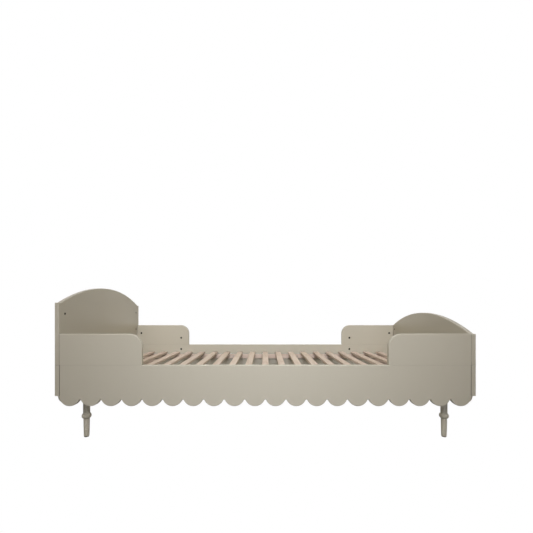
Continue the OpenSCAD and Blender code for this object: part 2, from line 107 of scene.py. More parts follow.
class End(Enum):
    """End of the bed, with the sign of its side along X."""

    HEAD = -1
    FOOT = 1


class Side(Enum):
    """Long side of the bed, with the sign of its side along Y."""

    FRONT = -1
    BACK = 1


def linear(red: int, green: int, blue: int) -> Colour:
    """Turns a display colour into the linear values that a shader takes.

    Args:
        red: Red, from 0 to 255.
        green: Green, from 0 to 255.
        blue: Blue, from 0 to 255.

    Returns:
        The same colour as three linear values from 0 to 1.
    """

    def channel(value: int) -> float:
        """One channel of the sRGB curve, undone."""
        share = value / 255
        return share / 12.92 if share <= 0.04045 else ((share + 0.055) / 1.055) ** 2.4

    return (channel(red), channel(green), channel(blue))


def scaled(colour: Colour, factor: float) -> Colour:
    """The colour made lighter or darker by a factor."""
    return (colour[0] * factor, colour[1] * factor, colour[2] * factor)


# ---- Finishes ----


class NodeBench:
    """Adds and joins the shader nodes of one material."""

    def __init__(self, name: str) -> None:
        """Starts an empty material with an output node."""
        self.material = bpy.data.materials.new(name)
        self.material.use_nodes = True
        self.tree = self.material.node_tree
        self.tree.nodes.clear()
        self.output = self.tree.nodes.new("ShaderNodeOutputMaterial")

    def add(self, kind: str, **settings: object) -> bpy.types.Node:
        """Adds a node.

        Args:
            kind: Type name of the node.
            settings: Properties to set on the node.

        Returns:
            The new node.
        """
        node = self.tree.nodes.new(kind)
        for key, value in settings.items():
            setattr(node, key, value)
        return node

    def join(self, source: bpy.types.NodeSocket, target: bpy.types.NodeSocket) -> None:
        """Links one socket to another."""
        self.tree.links.new(source, target)

    def place(self) -> bpy.types.NodeSocket:
        """The position on the piece, in metres, in the row frame."""
        return self.add("ShaderNodeTexCoord").outputs["Object"]

    def stretched(self, place: bpy.types.NodeSocket, per_metre: Point) -> bpy.types.NodeSocket:
        """Scales a position.

        Args:
            place: Position to scale.
            per_metre: Pattern repeats in a metre along X, Y and Z.

        Returns:
            The scaled position.
        """
        mapping = self.add("ShaderNodeMapping")
        mapping.inputs["Scale"].default_value = per_metre
        self.join(place, mapping.inputs["Vector"])
        return mapping.outputs["Vector"]

    def noise(
        self,
        place: bpy.types.NodeSocket,
        scale: float,
        detail: float = 2.0,
        distortion: float = 0.0,
    ) -> bpy.types.NodeSocket:
        """Adds a noise pattern.

        Args:
            place: Position that the noise is read at.
            scale: Size of the pattern: larger is finer.
            detail: Number of finer layers.
            distortion: How far the pattern is bent.

        Returns:
            The noise value, from 0 to 1.
        """
        node = self.add("ShaderNodeTexNoise")
        node.inputs["Scale"].default_value = scale
        node.inputs["Detail"].default_value = detail
        node.inputs["Distortion"].default_value = distortion
        self.join(place, node.inputs["Vector"])
        return node.outputs["Fac"]

    def maths(
        self,
        operation: str,
        first: bpy.types.NodeSocket,
        second: bpy.types.NodeSocket | float = 0.0,
    ) -> bpy.types.NodeSocket:
        """Adds an arithmetic node.

        Args:
            operation: Name of the operation, such as MULTIPLY.
            first: First value.
            second: Second value, as a socket or a number.

        Returns:
            The result.
        """
        node = self.add("ShaderNodeMath", operation=operation)
        self.join(first, node.inputs[0])
        if isinstance(second, float):
            node.inputs[1].default_value = second
        else:
            self.join(second, node.inputs[1])
        return node.outputs["Value"]

    def fitted(
        self,
        value: bpy.types.NodeSocket,
        source: Span,
        target: Span,
    ) -> bpy.types.NodeSocket:
        """Maps one range of values onto another and clamps it.

        Args:
            value: Value to map.
            source: Lowest and highest incoming value.
            target: Values that these two become.

        Returns:
            The mapped value.
        """
        node = self.add("ShaderNodeMapRange")
        node.inputs["From Min"].default_value = source[0]
        node.inputs["From Max"].default_value = source[1]
        node.inputs["To Min"].default_value = target[0]
        node.inputs["To Max"].default_value = target[1]
        self.join(value, node.inputs["Value"])
        return node.outputs["Result"]

    def blend(
        self,
        share: bpy.types.NodeSocket,
        first: bpy.types.NodeSocket | Colour,
        second: bpy.types.NodeSocket | Colour,
        mode: str = "MIX",
    ) -> bpy.types.NodeSocket:
        """Mixes two colours.

        Args:
            share: How much of the second colour shows, from 0 to 1.
            first: First colour.
            second: Second colour.
            mode: Name of the way of mixing, such as MULTIPLY.

        Returns:
            The mixed colour.
        """
        node = self.add("ShaderNodeMix", data_type="RGBA", blend_type=mode)
        self.join(share, node.inputs[0])
        for socket, colour in ((node.inputs[6], first), (node.inputs[7], second)):
            if isinstance(colour, tuple):
                socket.default_value = (*colour, 1.0)
            else:
                self.join(colour, socket)
        return node.outputs[2]

    def relief(
        self,
        height: bpy.types.NodeSocket,
        depth_mm: float,
        under: bpy.types.NodeSocket | None = None,
    ) -> bpy.types.NodeSocket:
        """Turns a height pattern into a surface normal.

        Args:
            height: Height, from 0 to 1.
            depth_mm: Depth of the relief in millimetres.
            under: Coarser normal that this one lies on.

        Returns:
            The normal.
        """
        node = self.add("ShaderNodeBump")
        node.inputs["Strength"].default_value = 1.0
        node.inputs["Distance"].default_value = depth_mm * MM
        self.join(height, node.inputs["Height"])
        if under is not None:
            self.join(under, node.inputs["Normal"])
        return node.outputs["Normal"]

    def arrises(self) -> bpy.types.NodeSocket:
        """How far a surface is turned away from the flats of a square-cut board."""
        geometry = self.add("ShaderNodeNewGeometry")
        size = self.add("ShaderNodeVectorMath", operation="ABSOLUTE")
        self.join(geometry.outputs["Normal"], size.inputs[0])
        parts = self.add("ShaderNodeSeparateXYZ")
        self.join(size.outputs["Vector"], parts.inputs[0])
        flat = self.maths("MAXIMUM", parts.outputs["X"], parts.outputs["Y"])
        flat = self.maths("MAXIMUM", flat, parts.outputs["Z"])
        return self.fitted(flat, ARRIS_RANGE, (1.0, 0.0))

    def joint_shade_mask(self, reach: float) -> bpy.types.NodeSocket:
        """Finds the joints and grooves, where the coat gets painted shade.

        Args:
            reach: Distance within which other faces count.

        Returns:
            A share from 0 in the open to 1 deep in a joint.
        """
        shade = self.add("ShaderNodeAmbientOcclusion", samples=CREVICE_SAMPLES)
        shade.inputs["Distance"].default_value = reach
        return self.fitted(shade.outputs["AO"], CREVICE_RANGE, (1.0, 0.0))

    def surface(
        self,
        colour: bpy.types.NodeSocket,
        roughness: bpy.types.NodeSocket,
        normal: bpy.types.NodeSocket,
        metallic: float = 0.0,
        specular: float = 0.5,
        sheen: float = 0.0,
    ) -> bpy.types.Material:
        """Closes the material with its surface shader.

        Args:
            colour: Base colour.
            roughness: Roughness.
            normal: Normal with its relief.
            metallic: 1 for bare metal, 0 for anything else.
            specular: Strength of the surface reflection.
            sheen: Strength of the fibres' soft glow.

        Returns:
            The finished material.
        """
        shader = self.add("ShaderNodeBsdfPrincipled")
        shader.inputs["Metallic"].default_value = metallic
        shader.inputs["Specular IOR Level"].default_value = specular
        shader.inputs["Sheen Weight"].default_value = sheen
        self.join(colour, shader.inputs["Base Color"])
        self.join(roughness, shader.inputs["Roughness"])
        self.join(normal, shader.inputs["Normal"])
        self.join(shader.outputs["BSDF"], self.output.inputs["Surface"])
        return self.material


@dataclass(frozen=True)
class SatinPaint:
    """Sprayed satin paint, with the fine skin of a sprayed coat."""

    name: str
    colour: Colour
    roughness: Span = (0.38, 0.47)
    specular: float = 0.55
    drift: float = 0.025
    drift_per_metre: float = 2.6
    gloss_per_metre: float = 9.0
    gloss_contrast: Span = (0.25, 0.75)
    # The arrises get a painted highlight, lighter and whiter whichever way they face.
    highlight_lift: float = 0.05
    highlight_colour: Colour = (1.0, 0.98, 0.93)
    # Painted shade in the joints and grooves: how far it looks, how much it darkens, and the
    # tone it darkens to.
    painted_shade_reach: float = 5.0 * MM
    painted_shade_share: float = 0.85
    painted_shade_tone: float = 0.08
    skin_per_metre: float = 620.0
    skin_depth_mm: float = 0.018
    sweep_per_metre: float = 14.0
    sweep_depth_mm: float = 0.10

    def build(self) -> bpy.types.Material:
        """Makes the material."""
        bench = NodeBench(self.name)
        place = bench.place()
        rough = bench.noise(place, self.gloss_per_metre)
        rough = bench.fitted(rough, self.gloss_contrast, self.roughness)
        return bench.surface(
            self.tone(bench, place), rough, self.relief(bench, place), specular=self.specular
        )

    def tone(self, bench: NodeBench, place: bpy.types.NodeSocket) -> bpy.types.NodeSocket:
        """Colours the coat, with a painted highlight on the arrises and painted shade in the
        joints.

        Args:
            bench: Bench that the nodes are added to.
            place: Position on the piece.

        Returns:
            The colour.
        """
        cloud = bench.noise(place, self.drift_per_metre, detail=3.0)
        tone = bench.blend(
            cloud, scaled(self.colour, 1.0 - self.drift), scaled(self.colour, 1.0 + self.drift)
        )
        # Painted highlight along every arris.
        edge = bench.maths("MULTIPLY", bench.arrises(), self.highlight_lift)
        tone = bench.blend(edge, tone, self.highlight_colour)
        # Painted shade: the coat darkens in joints and grooves, by how closed in they are.
        depth = bench.maths("MULTIPLY", bench.joint_shade_mask(self.painted_shade_reach), self.painted_shade_share)
        return bench.blend(depth, tone, scaled(self.colour, self.painted_shade_tone))

    def relief(self, bench: NodeBench, place: bpy.types.NodeSocket) -> bpy.types.NodeSocket:
        """Gives the coat its skin, over the long sweep of the board.

        Args:
            bench: Bench that the nodes are added to.
            place: Position on the piece.

        Returns:
            The normal.
        """
        sweep = bench.noise(place, self.sweep_per_metre, detail=1.0)
        skin = bench.noise(place, self.skin_per_metre, detail=1.0)
        under = bench.relief(sweep, self.sweep_depth_mm)
        return bench.relief(skin, self.skin_depth_mm, under)


@dataclass(frozen=True)
class PlanedWood:
    """Bare planed wood with growth rings, fibres and a tone of its own for each piece.

    A size has the reach of a pattern across the grain, then along it, in metres. A contrast
    has the noise values at which a mark starts and is full.
    """

    name: str
    pale: Colour
    deep: Colour
    grain: GrainAxis
    piece_step: float
    roughness: Span = (0.56, 0.70)
    specular: float = 0.32
    ring_size: Span = (0.044, 0.42)
    ring_bend: float = 0.15
    rings: float = 5.0
    ring_sharpness: float = 2.2
    ring_depth: float = 0.45
    fibre_size: Span = (0.0009, 0.055)
    fibre_contrast: Span = (0.35, 0.70)
    fibre_share: float = 0.30
    fibre_shade: float = 0.92
    fibre_depth_mm: float = 0.05
    fleck_size: Span = (0.0022, 0.016)
    fleck_contrast: Span = (0.66, 0.78)
    fleck_share: float = 0.22
    fleck_shade: float = 0.78
    piece_share: float = 0.40
    piece_lift: float = 1.04

    def per_metre(self, size: Span) -> Point:
        """Pattern repeats in a metre, with the long way along the grain."""
        across, along = size
        values = [1.0 / across] * 3
        values[self.grain.value] = 1.0 / along
        return (values[0], values[1], values[2])

    def build(self) -> bpy.types.Material:
        """Makes the material."""
        bench = NodeBench(self.name)
        place = bench.place()
        rings = bench.noise(
            bench.stretched(place, self.per_metre(self.ring_size)),
            1.0,
            detail=1.5,
            distortion=self.ring_bend,
        )
        rings = bench.maths("PINGPONG", bench.maths("MULTIPLY", rings, self.rings * 2), 1.0)
        rings = bench.maths("POWER", rings, self.ring_sharpness)
        fibre = bench.noise(
            bench.stretched(place, self.per_metre(self.fibre_size)), 1.0, detail=3.0
        )
        fleck = bench.noise(
            bench.stretched(place, self.per_metre(self.fleck_size)), 1.0, detail=1.0
        )
        share = bench.maths("MULTIPLY", rings, self.ring_depth)
        tone = bench.blend(share, self.pale, self.deep)
        thread = bench.fitted(fibre, self.fibre_contrast, (0.0, self.fibre_share))
        tone = bench.blend(thread, tone, scaled(self.deep, self.fibre_shade))
        spot = bench.fitted(fleck, self.fleck_contrast, (0.0, self.fleck_share))
        tone = bench.blend(spot, tone, scaled(self.deep, self.fleck_shade))
        lift = scaled(self.pale, self.piece_lift)
        tone = bench.blend(self.piece_tone(bench, place), tone, lift)
        rough = bench.fitted(fibre, NOISE_CORE, self.roughness)
        normal = bench.relief(fibre, self.fibre_depth_mm)
        return bench.surface(tone, rough, normal, specular=self.specular)

    def piece_tone(
        self, bench: NodeBench, place: bpy.types.NodeSocket
    ) -> bpy.types.NodeSocket:
        """Gives each piece in a row a lightness of its own.

        Args:
            bench: Bench that the nodes are added to.
            place: Position on the piece.

        Returns:
            A share from 0 up that is constant over one piece.
        """
        parts = bench.add("ShaderNodeSeparateXYZ")
        bench.join(place, parts.inputs[0])
        steps = bench.maths("DIVIDE", parts.outputs["X"], self.piece_step)
        # The half step puts the jumps midway between pieces; the 100 keeps numbers above 0.
        number = bench.maths("FLOOR", bench.maths("ADD", steps, 100.5))
        dice = bench.add("ShaderNodeTexWhiteNoise", noise_dimensions="1D")
        bench.join(number, dice.inputs["W"])
        return bench.fitted(dice.outputs["Value"], (0.0, 1.0), (0.0, self.piece_share))


@dataclass(frozen=True)
class Steel:
    """Steel hardware: bright plating or a blackened skin."""

    name: str
    colour: Colour
    roughness: Span
    metallic: float = 1.0
    specular: float = 0.5
    bloom_per_metre: float = 260.0
    bloom: Span = (0.86, 1.10)
    tooth_per_metre: float = 1800.0
    tooth_depth_mm: float = 0.008

    def build(self) -> bpy.types.Material:
        """Makes the material."""
        bench = NodeBench(self.name)
        place = bench.place()
        bloom = bench.noise(place, self.bloom_per_metre, detail=3.0)
        tone = bench.blend(
            bloom, scaled(self.colour, self.bloom[0]), scaled(self.colour, self.bloom[1])
        )
        rough = bench.fitted(bloom, NOISE_CORE, self.roughness)
        normal = bench.relief(bench.noise(place, self.tooth_per_metre), self.tooth_depth_mm)
        return bench.surface(
            tone, rough, normal, metallic=self.metallic, specular=self.specular
        )


@dataclass(frozen=True)
class Webbing:
    """Plain-woven cotton tape, with painted shade in the hollows of its weave."""

    name: str
    colour: Colour
    roughness: Span = (0.92, 0.80)
    specular: float = 0.2
    sheen: float = 0.25
    thread_mm: float = 0.9
    thread_bend: float = 0.4
    hollow_painted_shade: float = 0.72
    depth_mm: float = 0.25

    def build(self) -> bpy.types.Material:
        """Makes the material."""
        bench = NodeBench(self.name)
        place = bench.place()
        warp = bench.add("ShaderNodeTexWave", bands_direction="X")
        weft = bench.add("ShaderNodeTexWave", bands_direction="Y")
        for wave in (warp, weft):
            wave.inputs["Scale"].default_value = math.pi / (WAVE_TURN * self.thread_mm * MM)
            wave.inputs["Distortion"].default_value = self.thread_bend
            bench.join(place, wave.inputs["Vector"])
        weave = bench.maths("MULTIPLY", warp.outputs["Fac"], weft.outputs["Fac"])
        # Painted shade in the hollows between the threads.
        tone = bench.blend(weave, scaled(self.colour, self.hollow_painted_shade), self.colour)
        rough = bench.fitted(weave, (0.0, 1.0), self.roughness)
        normal = bench.relief(weave, self.depth_mm)
        return bench.surface(tone, rough, normal, specular=self.specular, sheen=self.sheen)


@dataclass(frozen=True)
class Felt:
    """Pressed wool felt."""

    name: str
    colour: Colour
    roughness: Span = (0.88, 0.98)
    specular: float = 0.15
    sheen: float = 0.4
    wool_per_metre: float = 900.0
    wool_bend: float = 1.2
    wool_contrast: Span = (0.2, 0.8)
    wool_tones: Span = (0.70, 1.25)
    depth_mm: float = 0.35

    def build(self) -> bpy.types.Material:
        """Makes the material."""
        bench = NodeBench(self.name)
        wool = bench.noise(
            bench.place(), self.wool_per_metre, detail=4.0, distortion=self.wool_bend
        )
        low, high = self.wool_tones
        tone = bench.blend(wool, scaled(self.colour, low), scaled(self.colour, high))
        rough = bench.fitted(wool, self.wool_contrast, self.roughness)
        normal = bench.relief(wool, self.depth_mm)
        return bench.surface(tone, rough, normal, specular=self.specular, sheen=self.sheen)


@dataclass
class Finishes:
    """All the finishes on the bed, each built once.

    A step is the distance along the bed over which a wood keeps one tone. A shade is the
    lightness of a wood beside that of the slats.
    """

    slat_pitch: float
    bearer_shade: float = 0.93
    block_shade: float = 0.90
    block_step: float = 0.7
    dowel_step: float = 0.3
    one_tone_step: float = 9.0
    block_ring_size: Span = (0.08, 0.42)
    paint: bpy.types.Material = field(init=False)
    leg_paint: bpy.types.Material = field(init=False)
    slat_wood: bpy.types.Material = field(init=False)
    bearer_wood: bpy.types.Material = field(init=False)
    block_wood: bpy.types.Material = field(init=False)
    dowel_wood: bpy.types.Material = field(init=False)
    webbing: bpy.types.Material = field(init=False)
    felt: bpy.types.Material = field(init=False)
    black_steel: bpy.types.Material = field(init=False)
    bright_steel: bpy.types.Material = field(init=False)

    def __post_init__(self) -> None:
        """Builds every material."""
        stone = linear(191, 185, 171)
        self.paint = SatinPaint("olive_paint", stone).build()
        # The turned legs get no painted highlight.
        self.leg_paint = SatinPaint("olive_paint_turned", stone, highlight_lift=0.0).build()
        pale = linear(221, 203, 192)
        deep = linear(192, 167, 149)
        self.slat_wood = PlanedWood(
            "slat_wood", pale, deep, GrainAxis.WIDTH, self.slat_pitch
        ).build()
        self.bearer_wood = PlanedWood(
            "bearer_wood",
            scaled(pale, self.bearer_shade),
            deep,
            GrainAxis.LENGTH,
            self.one_tone_step,
        ).build()
        self.block_wood = PlanedWood(
            "block_wood",
            scaled(pale, self.block_shade),
            deep,
            GrainAxis.LENGTH,
            self.block_step,
            ring_size=self.block_ring_size,
        ).build()
        self.dowel_wood = PlanedWood(
            "dowel_wood",
            linear(200, 172, 138),
            linear(160, 128, 96),
            GrainAxis.HEIGHT,
            self.dowel_step,
        ).build()
        self.webbing = Webbing("webbing", linear(206, 201, 188)).build()
        self.felt = Felt("felt", linear(120, 116, 108)).build()
        # Blackened steel, kept near black and dull, without a metal reflection, so that the
        # nuts and sleeves down in their holes also carry painted shade.
        self.black_steel = Steel(
            "black_steel", linear(14, 13, 12), (0.52, 0.70), metallic=0.0, specular=0.05
        ).build()
        self.bright_steel = Steel(
            "bright_steel", linear(176, 176, 174), (0.26, 0.44)
        ).build()


# ---- Mesh work ----


def add_piece(name: str, bm: bmesh.types.BMesh) -> bpy.types.Object:
    """Turns a mesh under construction into an object in the scene.

    Args:
        name: Name of the piece.
        bm: Mesh in the row frame; it is freed.

    Returns:
        The new object.
    """
    bmesh.ops.recalc_face_normals(bm, faces=bm.faces)
    mesh = bpy.data.meshes.new(name)
    bm.to_mesh(mesh)
    bm.free()
    for face in mesh.polygons:
        face.use_smooth = True
    piece = bpy.data.objects.new(name, mesh)
    bpy.context.scene.collection.objects.link(piece)
    return piece


def even_shading(piece: bpy.types.Object) -> None:
    """Keeps the large flats of a piece flat beside their rounded edges."""
    modifier = piece.modifiers.new("even_shading", "WEIGHTED_NORMAL")
    modifier.weight = FLAT_WEIGHT
    modifier.keep_sharp = True


def enter(
    piece: bpy.types.Object, nodes: Sequence[str], finish: bpy.types.Material
) -> None:
    """Finishes a piece and puts it in place of its solids.

    Args:
        piece: Piece made here.
        nodes: Names of the solids that it stands for.
        finish: Material of the piece.
    """
    piece.data.materials.append(finish)
    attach(piece, BODY)
    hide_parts(*nodes)
    log.info("made %s with %s", piece.name, finish.name)


def dress(nodes: Iterable[str], finish: bpy.types.Material) -> None:
    """Gives the frame's own solids their finish.

    Args:
        nodes: Names of the solids.
        finish: Material that they get.
    """
    for name in nodes:
        for slot in frame["nodes"][name].material_slots:
            slot.material = finish
        log.info("dressed %s with %s", name, finish.name)


def rounded_outline(width: float, height: float, radius: float, steps: int) -> Profile:
    """Outline of a rectangle with round corners.

    Args:
        width: Full width.
        height: Full height.
        radius: Radius of the corners.
        steps: Faces on each corner.

    Returns:
        Points round the outline, anticlockwise.
    """
    points: Profile = []
    for quarter, (sx, sy) in enumerate(((1, 1), (-1, 1), (-1, -1), (1, -1))):
        for step in range(steps + 1):
            angle = math.radians(90 * (quarter + step / steps))
            points.append(
                (
                    sx * (width / 2 - radius) + radius * math.cos(angle),
                    sy * (height / 2 - radius) + radius * math.sin(angle),
                )
            )
    return points


def skin_rings(bm: bmesh.types.BMesh, rings: list[list[Vector]]) -> None:
    """Joins rings of points into a closed skin with a cap at each end.

    Args:
        bm: Mesh that the skin is added to.
        rings: Rings with the same number of points.
    """
    rows = [[bm.verts.new(point) for point in ring] for ring in rings]
    count = len(rows[0])
    for lower, upper in zip(rows, rows[1:]):
        for i in range(count):
            j = (i + 1) % count
            bm.faces.new((lower[i], lower[j], upper[j], upper[i]))
    bm.faces.new(list(reversed(rows[0])))
    bm.faces.new(rows[-1])


@dataclass
class Bar:
    """A planed bar with eased edges and ends, and the slight bow of real timber.

    Rise and sway are how far its middle lies above and beside its ends. The smallest
    corner is the share of the ease that is left where an end is narrowest.
    """

    length: float
    width: float
    height: float
    ease: float
    rise: float = 0.0
    sway: float = 0.0
    stations: int = 24
    steps: int = 4
    smallest_corner: float = 0.06

    def rings(self, put: Callable[[float, float, float], Vector]) -> list[list[Vector]]:
        """Outlines along the bar.

        Args:
            put: Turns (along, across, up) from the bar's middle into a point of the row.

        Returns:
            One ring of points for each station.
        """
        half = self.length / 2
        ends = [
            (
                half - self.ease * (1 - math.cos(math.radians(90 * i / self.steps))),
                self.ease * (1 - math.sin(math.radians(90 * i / self.steps))),
            )
            for i in range(self.steps + 1)
        ]
        places = [(-along, inset) for along, inset in ends]
        flat = half - self.ease
        places += [
            (flat * (2 * i / self.stations - 1), 0.0) for i in range(1, self.stations)
        ]
        places += reversed(ends)
        rings: list[list[Vector]] = []
        for along, inset in places:
            share = 1 - (along / half) ** 2
            radius = max(self.ease - inset, self.ease * self.smallest_corner)
            outline = rounded_outline(
                self.width - 2 * inset, self.height - 2 * inset, radius, self.steps
            )
            rings.append(
                [
                    put(along, across + self.sway * share, up + self.rise * share)
                    for across, up in outline
                ]
            )
        return rings


# ---- Sub-assemblies ----


@dataclass
class PaintedCarcass:
    """The rails, end panels and guards: all the painted boards."""

    finishes: Finishes

    def names(self) -> list[str]:
        """Names of all the painted boards."""
        sides = [side.name.lower() for side in Side]
        ends = [end.name.lower() for end in End]
        boards = [f"side_rail_{side}" for side in sides]
        boards += [f"end_rail_{end}" for end in ends]
        boards += ["headboard_panel", "footboard_panel"]
        boards += [f"guard_{side}_{end}" for side in sides for end in ends]
        return boards

    def build(self) -> None:
        """Dresses the boards."""
        dress(self.names(), self.finishes.paint)


@dataclass
class TurnedLegs:
    """Four turned legs, each with a bead above a tapered shaft, on felt glides.

    The bead lies between two quirks, the small steps in which the cutter stops. Each
    quirk is given by pairs: how far in from the leg, and how far from the bead.
    """

    finishes: Finishes
    post_radius: float = 13.1 * MM
    bead_radius: float = 18.25 * MM
    bead_height: float = 88.0 * MM
    bead_half: float = 13.0 * MM
    bead_steps: int = 32
    taper_radius: float = 11.75 * MM
    foot_radius: float = 10.25 * MM
    foot_ease: float = 1.2 * MM
    foot_steps: int = 5
    swell: float = 0.2 * MM
    swell_shares: tuple[float, ...] = (0.2, 0.4, 0.6, 0.8, 0.95)
    quirk: float = 0.7 * MM
    quirk_below: tuple[Span, ...] = (
        (0.0, 1.6 * MM),
        (0.2 * MM, 1.0 * MM),
        (0.7 * MM, 0.6 * MM),
    )
    quirk_above: tuple[Span, ...] = (
        (0.7 * MM, 0.7 * MM),
        (0.2 * MM, 1.3 * MM),
        (0.0, 2.0 * MM),
    )
    segments: int = 96
    sharp_from: float = 42.0

    def bead_rise(self, radius: float) -> float:
        """Height above or below the bead's middle at which it reaches a radius."""
        return math.sqrt(self.bead_half**2 - (radius - self.bead_radius + self.bead_half) ** 2)

    def outline(self, foot: float, top: float) -> Profile:
        """Half outline of the leg, from its foot up.

        Args:
            foot: Height of the leg's lower end.
            top: Height of its upper end.

        Returns:
            Pairs of radius and height.
        """
        line: Profile = []
        for step in range(self.foot_steps + 1):
            angle = math.radians(90 * step / self.foot_steps)
            line.append(
                (
                    self.foot_radius - self.foot_ease * (1 - math.sin(angle)),
                    foot + self.foot_ease * (1 - math.cos(angle)),
                )
            )
        neck = self.taper_radius - self.quirk
        shaft = self.bead_height - self.bead_rise(neck)
        for share in self.swell_shares:
            radius = self.foot_radius + (self.taper_radius - self.foot_radius) * share
            swell = self.swell * math.sin(math.pi * share)
            line.append((radius + swell, foot + (shaft - foot) * share))
        line += [(self.taper_radius - inset, shaft - away) for inset, away in self.quirk_below]
        root = self.post_radius - self.quirk
        line += self.bead(neck, root)
        post = self.bead_height + self.bead_rise(root)
        line += [(self.post_radius - inset, post + away) for inset, away in self.quirk_above]
        line.append((self.post_radius, top))
        return line

    def bead(self, lower_root: float, upper_root: float) -> Profile:
        """Round bulge of the bead.

        Args:
            lower_root: Radius of the leg where the bead starts.
            upper_root: Radius of the leg where it ends.

        Returns:
            Pairs of radius and height over the bead.
        """
        low, high = -self.bead_rise(lower_root), self.bead_rise(upper_root)
        line: Profile = []
        for step in range(self.bead_steps + 1):
            share = 0.5 - 0.5 * math.cos(math.pi * step / self.bead_steps)
            up = low + (high - low) * share
            bulge = math.sqrt(self.bead_half**2 - up**2)
            line.append((self.bead_radius - self.bead_half + bulge, self.bead_height + up))
        return line

    def build(self) -> None:
        """Turns the legs and dresses their glides."""
        for side in Side:
            for end in End:
                self.turn(f"leg_{side.name.lower()}_{end.name.lower()}")
        dress(["leg_glides"], self.finishes.felt)

    def turn(self, node: str) -> None:
        """Turns one leg in place of its solid."""
        low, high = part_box(node)
        middle = ((low[0] + high[0]) / 2, (low[1] + high[1]) / 2)
        rings = [
            [
                Vector(
                    (
                        middle[0] + radius * math.cos(2 * math.pi * i / self.segments),
                        middle[1] + radius * math.sin(2 * math.pi * i / self.segments),
                        height,
                    )
                )
                for i in range(self.segments)
            ]
            for radius, height in self.outline(low[2], high[2])
        ]
        bm = bmesh.new()
        skin_rings(bm, rings)
        piece = add_piece(f"turned_{node}", bm)
        piece.data.set_sharp_from_angle(angle=math.radians(self.sharp_from))
        enter(piece, [node], self.finishes.leg_paint)


@dataclass
class SlatDeck:
    """The slats, their webbing tapes and the screws at the two end slats.

    Short, slim, rise, sway and skew are the most that one slat may differ from its solid.
    The sink is how much thinner a slat is than its solid, to leave room for the rise.
    """

    finishes: Finishes
    count: int = 19
    seed: int = 11
    sink: float = 0.2 * MM
    ease: float = 1.5 * MM
    short: float = 1.5 * MM
    slim: float = 0.5 * MM
    rise: float = 0.35 * MM
    sway: float = 0.6 * MM
    skew: float = 0.6 * MM

    def build(self) -> None:
        """Makes the slats and dresses the rest."""
        dice = random.Random(self.seed)
        for number in range(1, self.count + 1):
            self.plane(f"slat_{number:02d}", dice)
        dress(["slat_tape_front", "slat_tape_back"], self.finishes.webbing)
        dress(["slat_screws"], self.finishes.bright_steel)

    def plane(self, node: str, dice: random.Random) -> None:
        """Makes one slat.

        Args:
            node: Name of its solid.
            dice: Source of its small irregularities.
        """
        low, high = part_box(node)
        middle = [(a + b) / 2 for a, b in zip(low, high)]
        slat = Bar(
            length=high[1] - low[1] - dice.uniform(0.0, self.short),
            width=high[0] - low[0] - dice.uniform(0.0, self.slim),
            height=high[2] - low[2] - self.sink,
            ease=self.ease,
            rise=dice.uniform(0.0, self.rise),
            sway=dice.uniform(-self.sway, self.sway),
        )
        turn = dice.uniform(-self.skew, self.skew)

        def put(along: float, across: float, up: float) -> Vector:
            """Lays the slat across the bed, a hair out of square."""
            skew = turn * 2 * along / slat.length
            return Vector(
                (middle[0] + across + skew, middle[1] + along, middle[2] + up - self.sink / 2)
            )

        bm = bmesh.new()
        skin_rings(bm, slat.rings(put))
        piece = add_piece(f"planed_{node}", bm)
        even_shading(piece)
        enter(piece, [node], self.finishes.slat_wood)


@dataclass
class Bearers:
    """The two battens that carry the slats, screwed to the side rails.

    The sink keeps the free face inside the solid.
    """

    finishes: Finishes
    sink: float = 0.25 * MM
    ease: float = 1.8 * MM
    stations: int = 40

    def build(self) -> None:
        """Makes the battens and dresses their screws."""
        for side in Side:
            self.plane(f"bearer_{side.name.lower()}", side)
        dress(["bearer_screws"], self.finishes.bright_steel)

    def plane(self, node: str, side: Side) -> None:
        """Makes one batten.

        Args:
            node: Name of its solid.
            side: Long side of the bed that it is on.
        """
        low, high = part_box(node)
        middle = [(a + b) / 2 for a, b in zip(low, high)]
        batten = Bar(
            length=high[0] - low[0],
            width=high[1] - low[1] - self.sink,
            height=high[2] - low[2],
            ease=self.ease,
            stations=self.stations,
        )
        shift = side.value * self.sink / 2

        def put(along: float, across: float, up: float) -> Vector:
            """Lays the batten along the rail."""
            return Vector((middle[0] + along, middle[1] + across + shift, middle[2] + up))

        bm = bmesh.new()
        skin_rings(bm, batten.rings(put))
        piece = add_piece(f"planed_{node}", bm)
        even_shading(piece)
        enter(piece, [node], self.finishes.bearer_wood)


